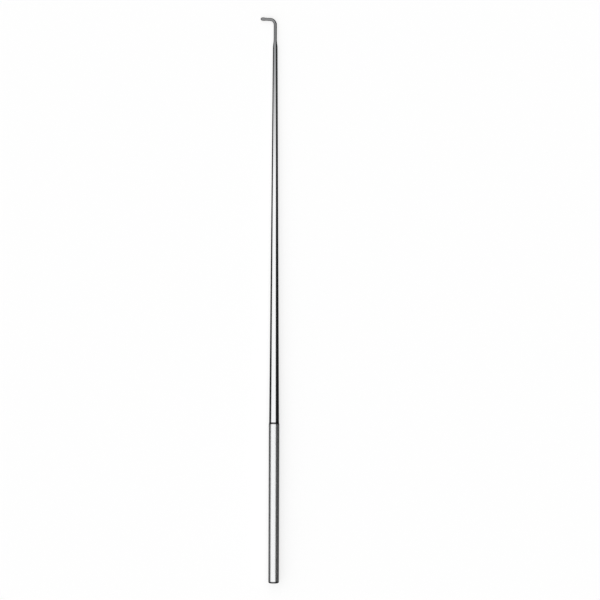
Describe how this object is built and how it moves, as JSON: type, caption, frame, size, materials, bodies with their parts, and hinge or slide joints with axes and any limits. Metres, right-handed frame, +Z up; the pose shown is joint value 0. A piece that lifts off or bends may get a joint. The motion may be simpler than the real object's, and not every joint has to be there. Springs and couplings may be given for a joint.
{
  "type": "surgical hook",
  "caption": "Slender one-piece steel hook with a plain round handle, a long tapered shaft and a short right-angled arm with a blunt, slightly swollen tip.",
  "frame": {"origin": "on the surface that the hook lies on, below the middle of its box", "axes": "+X along the handle and shaft, towards the hooked end; +Y to the side that the arm points to; +Z up, with the hook lying flat"},
  "size_m": [0.254, 0.009, 0.0053],
  "materials": {
    "steel": "fine satin on the handle, polished along the shaft and tip"
  },
  "bodies": {
    "root": {"hook": "steel"}
  },
  "joints": []
}
